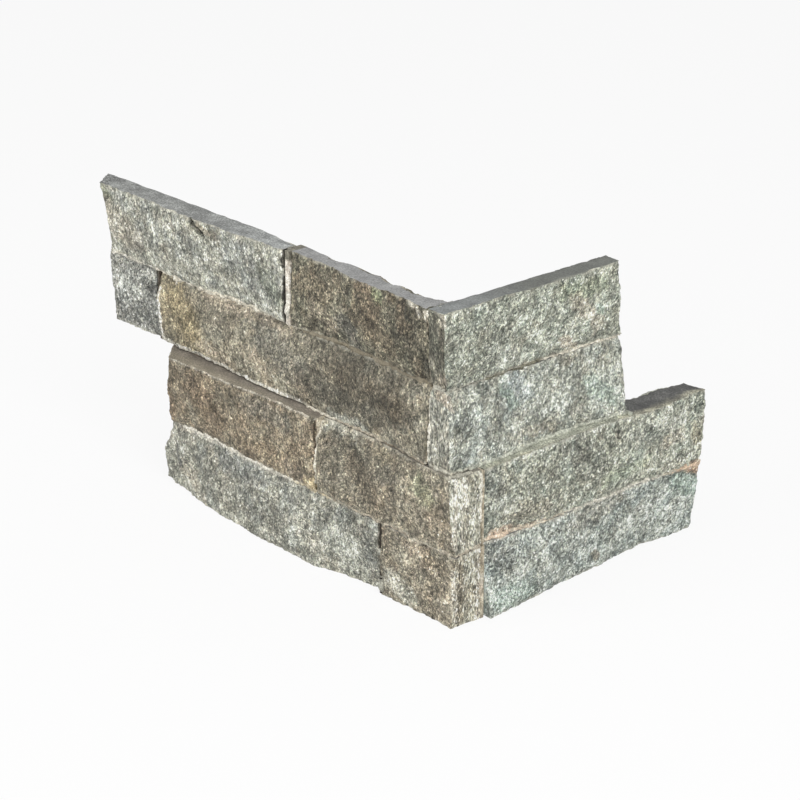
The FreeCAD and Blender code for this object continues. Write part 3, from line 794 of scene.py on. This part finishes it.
# The third course's inner stone
# The longest strip: ochre at its outer end, then brown grey, and darker towards the corner.
BLUE_GREY = (0.26, 0.268, 0.245)
stone = split_stone(
    "course_3_inner_stone", seed=8, upright=0.75,
    stains=[(-206, 104, -188, 88, 18, OCHRE, 0.35), (-196, 104, -186, 92, 10, OCHRE, 0.4),
            (-213, 98, -212.6, 78, 2.2, BLUE_GREY, 0.9), (-213.2, 113.5, -212, 101, 2.2, CHIP_SHADE_OLIVE, 0.95),
            (-210, 99, -210.2, 77, 1.15, BONE, 1.0), (-211, 77, -95, 77, 1.5, BONE, 0.9),
            (-210, 106, -210, 99, 0.8, BONE, 0.6), (-198.6, 113.8, -198, 112.4, 1.8, BONE, 1.0),
            (-170, 113, -108, 112, 5, BEIGE, 0.55), (-128, 104, -98, 94, 9, CHARCOAL, 0.3),
            (-130, 92, -122, 82, 5, BEIGE, 0.5), (-96, 90, -90, 80, 5, BEIGE, 0.4),
            (-72, 78, -46, 78, 3.2, PALE, 0.45), (-60, 100, -20, 96, 9, UMBER, 0.35),
            (-175, 84, -150, 80, 5, BEIGE, 0.4)],
    shades=[(-200, 104, -190, 101, 9, 0.25), (-148, 88, -140, 86, 9, -0.3), (-98, 104, -90, 102, 9, 0.35),
            (-72, 88, -64, 87, 9, -0.3), (-172, 84, -118, 84, 11, 0.35), (-144, 106, -140, 104, 9, 0.2),
            (-168, 104, -164, 102, 8, -0.2), (-78, 98, -42, 98, 20, -0.7), (-30, 100, -14, 104, 14, -0.4),
            (-95, 86, -88, 84, 9, -0.45)],
    cracks=[(-213.4, 113.5, -212.6, 102, 1.4, 0.8)])
finish_stone(
    stone,
    split=quartzite("third_brown", (0.215, 0.198, 0.15), (0.21, 0.21, 0.17), (0.27, 0.225, 0.155),
                    seed=8.0, contrast=0.97),
    sawn=sawn_quartzite("third_tan_ledge", (0.185, 0.163, 0.118), seed=8.0),
    end=quartzite("third_brown_end", (0.2, 0.18, 0.13), (0.2, 0.2, 0.16), (0.26, 0.21, 0.14), seed=8.5,
                  layers="y"))

# The third course's return stone
# Light grey with green and blue clouds. It runs through the corner, so its left end shows.
stone = split_stone(
    "course_3_return_stone", seed=9,
    stains=[(28, 112, 34, 100, 5, SLATE_BLUE, 0.4), (-4, 96, 4, 90, 6, CHARCOAL, 0.3),
            (22, 105, 28, 98, 3.5, SEA_GREEN, 0.5), (76, 96, 90, 86, 5, SEA_GREEN, 0.4),
            (30, 84, 52, 81, 3.5, BEIGE, 0.35), (18, 100, 40, 92, 7, CHARCOAL, 0.25),
            (60, 110, 72, 112, 3, UMBER, 0.4), (-14, 110, -14, 80, 1.3, PALE, 0.6),
            (-22, 112, -13, 107, 3, PINK_BEIGE, 0.6)],
    shades=[(80, 104, 90, 100, 10, 0.4), (22, 88, 24, 86, 9, -0.25), (22, 104, 26, 100, 8, 0.2)])
finish_stone(
    stone,
    split=quartzite("third_silver", (0.33, 0.345, 0.295), (0.29, 0.335, 0.32), (0.38, 0.355, 0.28),
                    seed=9.0, slant=0.7),
    sawn=sawn_quartzite("third_sawn", (0.19, 0.195, 0.18), seed=9.0),
    end=quartzite("third_silver_end", (0.25, 0.25, 0.21), (0.24, 0.26, 0.22), (0.28, 0.25, 0.19),
                  seed=9.5, layers="x", contrast=1.05))

# The top course's outer stone
# A light silver grey strip, a little beige at its outer end and bluish towards the joint. A flake has
# lifted below its top arris.
# Its near black strokes are painted shade: in the lifted flake's crack, and on its end beside the butt
# joint's gap.
stone = split_stone(
    "course_4_outer_stone", seed=10, upright=0.65, chipped=True,
    stains=[(-262, 140, -232, 128, 11, PINK_BEIGE, 0.3), (-145, 140, -122, 130, 11, SLATE_BLUE, 0.2),
            (-182, 138, -177, 124, 3.5, CHARCOAL, 0.35), (-124, 136, -112, 126, 6, MOSS, 0.25),
            (-150, 119, -112, 118, 4, PALE, 0.2), (-222, 136, -206, 122, 6, CHARCOAL, 0.2),
            (-169, 149.5, -160, 147, 3, UMBER, 0.5), (-258, 150, -250, 146, 3, MOSS, 0.3),
            (-178, 150, -167.5, 144.8, 1.2, CRACK_SHADE_BLACK, 0.95), (-104.7, 116, -104.7, 150, 3, CRACK_SHADE_BLACK, 0.9)],
    shades=[(-180, 133, -168, 133, 14, 0.15), (-180, 126, -170, 125, 9, 0.3),
            (-128, 126, -120, 124, 8, -0.3), (-135, 135, -115, 132, 13, -0.28)],
    cracks=[(-178, 150.5, -168, 145, 1.6, 3.0)])
finish_stone(
    stone,
    split=quartzite("top_silver", (0.325, 0.325, 0.27), (0.29, 0.315, 0.30), (0.39, 0.36, 0.285),
                    seed=10.0, upright=0.65),
    sawn=sawn_quartzite("top_silver_sawn", (0.215, 0.22, 0.21), seed=10.0, broken_end=-0.256, mottle=1.7,
                        fades=[(0, -0.17, -0.12, (0.30, 0.31, 0.30))]),
    end=quartzite("top_silver_end", (0.30, 0.30, 0.26), (0.29, 0.315, 0.30), (0.39, 0.36, 0.285),
                  seed=10.5, layers="y"))

# The top course's inner stone
# A dark brownish green strip, bruised along the arris of its back.
stone = split_stone(
    "course_4_inner_stone", seed=11, upright=0.7, chipped=True,
    stains=[(-64, 128, -56, 118, 6, CHARCOAL, 0.45), (-48, 149, -40, 140, 7, RUST, 0.35),
            (-37, 149, -34, 147, 3.5, MOSS, 0.35), (-20, 149, -17, 138, 4, RUST, 0.35),
            (-13, 151.5, -11, 150.5, 1.6, CREAM, 0.8), (-7, 150, -6, 147, 1.5, CREAM, 0.8),
            (-2, 150, -1, 147, 1.5, CREAM, 0.8), (-50, 134, -30, 126, 8, UMBER, 0.4),
            (-94, 140, -78, 138, 8, UMBER, 0.3), (-86, 128, -72, 122, 5, BEIGE, 0.3)],
    shades=[(-74, 142, -66, 139, 10, 0.55), (-18, 145, -10, 120, 11, -0.6)])
finish_stone(
    stone,
    split=quartzite("top_brown_green", (0.137, 0.126, 0.092), (0.135, 0.143, 0.105),
                    (0.175, 0.135, 0.088), seed=11.0, contrast=1.15),
    sawn=sawn_quartzite("top_brown_sawn", (0.26, 0.26, 0.255), seed=11.0),
    end=quartzite("top_brown_end", (0.16, 0.15, 0.11), (0.16, 0.17, 0.13), (0.23, 0.18, 0.12), seed=11.5,
                  layers="y"))

# The top course's return stone
# Light green grey, as the stone under it, and through the corner too.
# The thin umber stroke along its foot, at up 115, is painted shadow over the seam below it.
stone = split_stone(
    "course_4_return_stone", seed=12, chipped=True,
    stains=[(66, 140, 84, 124, 5, PINK_BEIGE, 0.45), (60, 121, 67, 116, 3, PINK_BEIGE, 0.55),
            (82, 132, 84, 130, 3, SEA_GREEN, 0.5), (60, 145, 84, 144, 5, MOSS, 0.3),
            (16, 128, 30, 118, 7, PALE, 0.3), (-16, 120, -16, 116, 3, PINK_BEIGE, 0.3),
            (-16, 150, -16, 147, 2, CREAM, 0.5), (12, 115, 56, 115, 1.3, UMBER, 0.5)],
    shades=[(0, 144, 8, 136, 9, -0.28), (38, 124, 68, 124, 8, 0.32), (86, 142, 90, 136, 9, 0.22)])
# Its end's dark brown tone is partly the stone's own colour and partly painted shade on the end beside the
# corner.
finish_stone(
    stone,
    split=quartzite("top_green_grey", (0.30, 0.315, 0.26), (0.28, 0.325, 0.275), (0.36, 0.335, 0.26),
                    seed=12.0, slant=0.7, contrast=1.05),
    sawn=sawn_quartzite("top_green_sawn", (0.19, 0.20, 0.195), seed=12.0,
                        fades=[(1, 0.005, 0.04, (0.115, 0.12, 0.107)),
                               (0, 0.0095, 0.0112, (0.2, 0.2, 0.17))]),
    end=quartzite("top_green_end", (0.14, 0.135, 0.105), (0.15, 0.155, 0.12), (0.17, 0.14, 0.10),
                  seed=12.5, layers="x", contrast=1.1))

# The adhesive
# Cream epoxy mortar, buttered on the sawn faces in the workshop. The solids' own beds and joints get
# its look, with painted shade: they are painted darker where they lie deep and in shade.
CRUMB_SCALE, PATCH_SCALE, MORTAR_CLOUD_SCALE = 1100.0, 330.0, 170.0
MORTAR_CLOUD_RANGE = (0.35, 0.65)
PATCH_SHARE = 0.6
TOP_DARK_TONE, TOP_DARK_RUN = (0.17, 0.16, 0.125), 0.002
MORTAR_LIGHTEST = (0.88, 0.86, 0.82)


def mortar(name, tint, light, stained=False, darkened_above=None, crumbly=5.0):
    """Cured mortar: crumbly, with paler and browner parts, and on a bead the strokes of its stains."""
    material = bpy.data.materials.new(name)
    add = shader_nodes(material)
    place = add("ShaderNodeTexCoord").outputs["Object"]
    crumbs = noise_at(add, place, CRUMB_SCALE, 3.0, 0.7)
    clouds = noise_at(add, place, MORTAR_CLOUD_SCALE, 3.0)
    ground = laid_over(add, ranged(add, clouds, *MORTAR_CLOUD_RANGE), tint, light)
    if stained:
        stain = add("ShaderNodeAttribute", attribute_name="stain").outputs
        ground = laid_over(add, stain["Alpha"], ground, stain["Color"])
    # Above a given height the mortar is made darker.
    if darkened_above:
        up = add("ShaderNodeSeparateXYZ", {"Vector": place}).outputs[2]
        ground = laid_over(add, ranged(add, up, darkened_above, darkened_above + TOP_DARK_RUN), ground, TOP_DARK_TONE)
    patches = noise_at(add, place, PATCH_SCALE, 2.0)
    stops = summed(add, [weighed(add, crumbs, 0.5, crumbly),
                         weighed(add, patches, 0.5, crumbly * PATCH_SHARE)])
    capped = add("ShaderNodeVectorMath", {0: brightened(add, ground, stops), 1: MORTAR_LIGHTEST},
                 operation="MINIMUM").outputs[0]
    finish_surface(add, capped, 0.8, crumbs, strength=0.7, distance=0.0005)
    return material


cream_adhesive = mortar("cream_adhesive", (0.34, 0.29, 0.21), (0.50, 0.45, 0.35))
bead_adhesive = mortar("bead_adhesive", (0.40, 0.37, 0.29), (0.58, 0.55, 0.46), stained=True)
pink_adhesive = mortar("pink_adhesive", (0.58, 0.51, 0.42), (0.76, 0.72, 0.63), darkened_above=0.146)
# The near black and the dark brown mortars are painted shade, for joints that lie deep in shadow.
painted_shadow_adhesive = mortar("painted_shadow_adhesive", (0.012, 0.009, 0.005), (0.03, 0.022, 0.013))
grey_adhesive = mortar("grey_adhesive", (0.17, 0.17, 0.15), (0.25, 0.25, 0.23))
painted_gap_shade_adhesive = mortar("painted_gap_shade_adhesive", (0.07, 0.058, 0.043), (0.12, 0.10, 0.075))
tan_adhesive = mortar("tan_adhesive", (0.19, 0.165, 0.115), (0.25, 0.22, 0.16), crumbly=2.0)
OWN_LOOKS = {"course_4_butt_joint": pink_adhesive, "course_1_butt_joint": painted_shadow_adhesive,
             "course_4_corner_joint": grey_adhesive, "course_2_long_bed": painted_gap_shade_adhesive,
             "course_3_butt_joint": painted_gap_shade_adhesive}
for name, node in frame["nodes"].items():
    if name.endswith(("_bed", "_joint")):
        node.data.materials.clear()
        node.data.materials.append(OWN_LOOKS.get(name, cream_adhesive))

# The beads along the beds of the long leg
# Mortar squeezed out a little as the courses were pressed together, cream to tan and soiled. Each
# bead follows the arrises of the finished stones, and short ones go on round the corner.
BEAD_STEP = 0.0008
BEAD_PROBE = 0.0009
BEAD_SINK, BEAD_ASIDE = 0.45, 0.3
BEAD_PITCH, BEAD_FINE_PITCH, BEAD_FINE_SHARE = 6.0, 2.1, 0.7
BEAD_SWELL, BLOB_SWELL = 1.2, 0.5
BEAD_THINNEST = 0.04
BEAD_RAGGED, RAGGED_PITCH, RAGGED_FINE_PITCH = 0.00045, 0.0021, 0.001
LOOK_FROM, BEHIND_FACES = 0.2, 0.004

faces_seen = bmesh.new()
for piece in list(scene.objects):
    if piece.name.endswith("_split"):
        faces_seen.from_mesh(piece.data)
stones_seen = BVHTree.FromBMesh(faces_seen)
faces_seen.free()


def depth_at(leg, along, up):
    """How far out the stones' faces are at a place on a leg, or None past their ends."""
    if leg == "long":
        hit = stones_seen.ray_cast(Vector((along, -LOOK_FROM, up)), Vector((0, 1, 0)))[0]
        return None if hit is None or hit.y > -BEHIND_FACES else -hit.y
    hit = stones_seen.ray_cast(Vector((LOOK_FROM, along, up)), Vector((-1, 0, 0)))[0]
    return None if hit is None or hit.x < BEHIND_FACES else hit.x


def bead_line(leg, start, end, radius, blobs, seed, probe):
    """The places along a bead and how thick it is at each, on the deeper of the two stones it joins."""
    begin, finish = Vector(start) / 1000.0, Vector(end) / 1000.0
    run = finish - begin
    across = Vector((-run.y, run.x)).normalized() * probe
    if across.y < 0:
        across.negate()
    upright = abs(run.y) > abs(run.x)
    count = max(2, int(run.length / BEAD_STEP))
    line = []
    for step in range(count + 1):
        place = begin + run * step / count
        sides = [(depth_at(leg, *(place + side)), side) for side in (across, -across)]
        met = [side for side in sides if side[0] is not None]
        if not met:
            continue
        deep = min(met, key=lambda side: side[0])
        where = (place.y if upright else place.x) * 1000.0
        wave = noise.noise(Vector((where / BEAD_PITCH, seed, 0.0)))
        wave += BEAD_FINE_SHARE * noise.noise(Vector((where / BEAD_FINE_PITCH, seed, 5.0)))
        thick = radius * (1.0 + BEAD_SWELL * wave)
        for middle, half, extra in blobs:
            off = (where - middle) / half
            thick += extra * math.exp(-off * off) * (1.0 + BLOB_SWELL * wave)
        thick = max(thick, BEAD_THINNEST) / 1000.0
        place = place + deep[1].normalized() * BEAD_PROBE * BEAD_ASIDE
        depth = deep[0] - thick * BEAD_SINK
        if leg == "long":
            line.append((place.x, -depth, place.y, thick))
        else:
            line.append((depth, place.x, place.y, thick))
    return line


def bead(name, leg, start, end, radius, seed, blobs=(), stains=(), probe=BEAD_PROBE, look=bead_adhesive):
    """A squeezed out bead along a joint, thick and thin, from start to end as (along, up) in mm.

    Each blob is (along or up, half length, radius) in mm, along the joint's own run.
    """
    line = bead_line(leg, start, end, radius, blobs, seed, probe)
    curve = bpy.data.curves.new(name, "CURVE")
    curve.dimensions = "3D"
    curve.bevel_depth = 1.0
    curve.bevel_resolution = 2
    curve.use_fill_caps = True
    spline = curve.splines.new("POLY")
    spline.points.add(len(line) - 1)
    for point, (x, y, z, thick) in zip(spline.points, line):
        point.co = (x, y, z, 1.0)
        point.radius = thick
    drawn = bpy.data.objects.new(name + "_drawn", curve)
    mesh = bpy.data.meshes.new_from_object(drawn)
    bpy.data.objects.remove(drawn)
    shape = bmesh.new()
    shape.from_mesh(mesh)
    bmesh.ops.remove_doubles(shape, verts=shape.verts, dist=MERGE)
    shape.normal_update()
    for vert in shape.verts:
        ragged = noise.noise(vert.co / RAGGED_PITCH) + noise.noise(vert.co / RAGGED_FINE_PITCH)
        vert.co += vert.normal * ragged * BEAD_RAGGED
    keep_in_box(shape)
    for face in shape.faces:
        face.smooth = True
    shape.to_mesh(mesh)
    shape.free()
    mesh.name = name
    paint_stains(mesh, leg == "return", stains)
    mesh.materials.append(look)
    piece = bpy.data.objects.new(name, mesh)
    scene.collection.objects.link(piece)
    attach(piece, "root")


def joint_middle(node, axis):
    """Where a joint's middle lies along an axis, in mm."""
    low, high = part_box(node)
    return (low[axis] + high[axis]) * 500.0


first_bed = joint_middle("course_1_long_bed", 2)
second_bed = joint_middle("course_2_long_bed", 2)
third_bed = joint_middle("course_3_long_bed", 2)
GREY = (0.27, 0.27, 0.23)
bead("first_bed_bead", "long", (-190, first_bed), (19, first_bed), 0.75, seed=1.0,
     blobs=[(-165, 22, 0.3), (-110, 20, 0.3)],
     stains=[(-188, first_bed, -95, first_bed, 5, BONE, 0.7),
             (-90, first_bed, -70, first_bed, 5, YELLOW, 0.5),
             (-60, first_bed, 15, first_bed, 4, BEIGE, 0.7)])
bead("first_bed_end_bead", "return", (-19, first_bed), (-1.5, first_bed), 0.8, seed=1.5,
     stains=[(-20, first_bed, 0, first_bed, 5, BEIGE, 0.6)])
bead("yellow_lump", "long", (-80.5, 39.5), (-79.5, 42), 1.9, seed=1.7,
     stains=[(-80, 38, -78, 43, 6, YELLOW, 1.0)])
bead("second_bed_bead", "long", (-92, second_bed), (-2, second_bed), 0.6, seed=2.0,
     blobs=[(-82, 9, 0.5), (-54, 7, 0.3)],
     stains=[(-92, second_bed, -66, second_bed, 5, CREAM, 0.7),
             (-66, second_bed, -30, second_bed, 4, BEIGE, 0.7),
             (-30, second_bed, 0, second_bed, 4, UMBER, 0.7)])
bead("second_bed_end_bead", "long", (0.5, second_bed), (19, second_bed), 0.8, seed=2.5,
     blobs=[(8, 5, 0.5)],
     stains=[(-10, second_bed, 30, second_bed, 5, GREY, 0.5)])
bead("third_bed_bead", "long", (-256, third_bed), (-98, third_bed), 0.75, seed=3.0,
     blobs=[(-198, 2, 1.9), (-172, 4, 1.0), (-150, 6, 1.0), (-130, 6, 0.7), (-107, 3, 2.4)],
     stains=[(-256, third_bed, -216, third_bed, 5, BONE, 0.7),
             (-215, third_bed, -100, third_bed, 5, CREAM, 0.6)])
bead("third_bed_tan_bead", "long", (-99, third_bed - 0.3), (-2, third_bed - 0.3), 1.05, seed=3.2,
     look=tan_adhesive,
     blobs=[(-78, 10, 0.4), (-52, 12, 0.5), (-28, 10, 0.2)])
bead("third_bed_end_bead", "long", (0.5, third_bed), (12, third_bed), 0.6, seed=3.5,
     blobs=[(2, 3, 1.0)],
     stains=[(4, third_bed, 14, third_bed, 4, GREY, 0.6)])

# The beads along the beds of the return
# The same mortar, stained orange and salmon where iron has bled from it, and painted dark olive under the
# top course as painted shadow.
LICHEN_GREY = (0.44, 0.46, 0.385)
BEAD_SHADOW_OLIVE = (0.15, 0.145, 0.10)
bead("first_return_bead", "return", (1, first_bed), (150, first_bed), 0.7, seed=4.0,
     blobs=[(11, 5, 1.5), (20, 8, 0.4), (140, 7, 0.8), (149, 6, 1.9), (95, 20, 0.4)],
     stains=[(5, first_bed, 16, first_bed, 4, ORANGE, 0.85),
             (17, first_bed, 40, first_bed, 3, ORANGE, 0.4),
             (44, first_bed, 58, first_bed, 5, BEIGE, 0.5), (60, first_bed, 118, first_bed, 5, BONE, 0.6),
             (134, first_bed, 152, first_bed, 5, SALMON, 0.85)])
bead("second_return_bead", "return", (-18, second_bed), (99, second_bed), 0.9, seed=5.0,
     blobs=[(10, 12, 0.4), (30, 12, 0.6), (58, 16, 0.7), (84, 10, 0.3)],
     stains=[(-10, second_bed, 98, second_bed, 5, LICHEN_GREY, 0.85)])
# The dark olive stroke on this bead is painted shadow below the top course's return.
bead("third_return_bead", "return", (-14, third_bed), (99, third_bed), 0.6, seed=6.0,
     blobs=[(80, 22, 0.2), (40, 20, 0.15)],
     stains=[(-18, third_bed, 10, third_bed, 5, GREY, 0.7),
             (14, third_bed, 44, third_bed, 5, BEAD_SHADOW_OLIVE, 0.95),
             (56, third_bed, 99, third_bed, 4, CREAM, 0.5)])

# The beads in the butt joints
# Short upright beads between the outer and the inner stone of a course. The foot course's one has the
# stone's own grey, and the top course's one fills a wide joint.
FOOT_GREY = (0.33, 0.33, 0.28)
first_butt = joint_middle("course_1_butt_joint", 0)
second_butt = joint_middle("course_2_butt_joint", 0)
top_butt = joint_middle("course_4_butt_joint", 0)
bead("first_butt_bead", "long", (first_butt + 0.4, 1), (first_butt + 0.4, 24), 1.7, seed=7.0,
     blobs=[(6, 5, 0.7), (13.5, 3, 1.4)],
     stains=[(first_butt, 0, first_butt, 24, 6, FOOT_GREY, 0.9)])
bead("second_butt_bead", "long", (second_butt, 42), (second_butt, 74), 0.8, seed=8.0,
     blobs=[(74, 3, 0.5)],
     stains=[(second_butt, 48, second_butt, 74, 4, CREAM, 0.6)])
bead("top_butt_bead", "long", (top_butt + 0.4, 115), (top_butt + 0.4, 146), 1.2, seed=10.0, probe=0.0035,
     blobs=[(116, 3, 1.0)],
     stains=[(top_butt, 114, top_butt, 150, 4, BONE, 0.8)])

# The beads at the corner
# Upright beads where the long leg and the return meet, one in each course.
corner_of_foot = joint_middle("course_1_corner_joint", 1)
corner_of_return = joint_middle("course_2_corner_joint", 1)
corner_of_long = joint_middle("course_3_corner_joint", 0)
bead("first_corner_bead", "return", (corner_of_foot, 11), (corner_of_foot, 36), 0.95, seed=11.0,
     probe=0.0014,
     blobs=[(15, 4, 0.5)],
     stains=[(corner_of_foot, 11, corner_of_foot, 17, 4, ORANGE, 0.5),
             (corner_of_foot, 19, corner_of_foot, 36, 4, CREAM, 0.7)])
bead("second_corner_bead", "return", (corner_of_return, 39), (corner_of_return, 75), 0.9, seed=12.0,
     blobs=[(70, 6, 0.5)],
     stains=[(corner_of_return, 38, corner_of_return, 76, 4, BONE, 0.9)])
bead("third_corner_bead", "long", (corner_of_long, 78), (corner_of_long, 113), 0.75, seed=13.0,
     blobs=[(111, 3, 1.2)],
     stains=[(corner_of_long, 78, corner_of_long, 112, 4, BONE, 0.6)])
bead("top_corner_bead", "long", (corner_of_long, 116), (corner_of_long, 151), 0.3, seed=14.0,
     blobs=[(117, 3, 1.0), (150, 3, 0.8)],
     stains=[(corner_of_long, 120, corner_of_long, 146, 4, UMBER, 0.7)])

scene.view_settings.view_transform = "Standard"
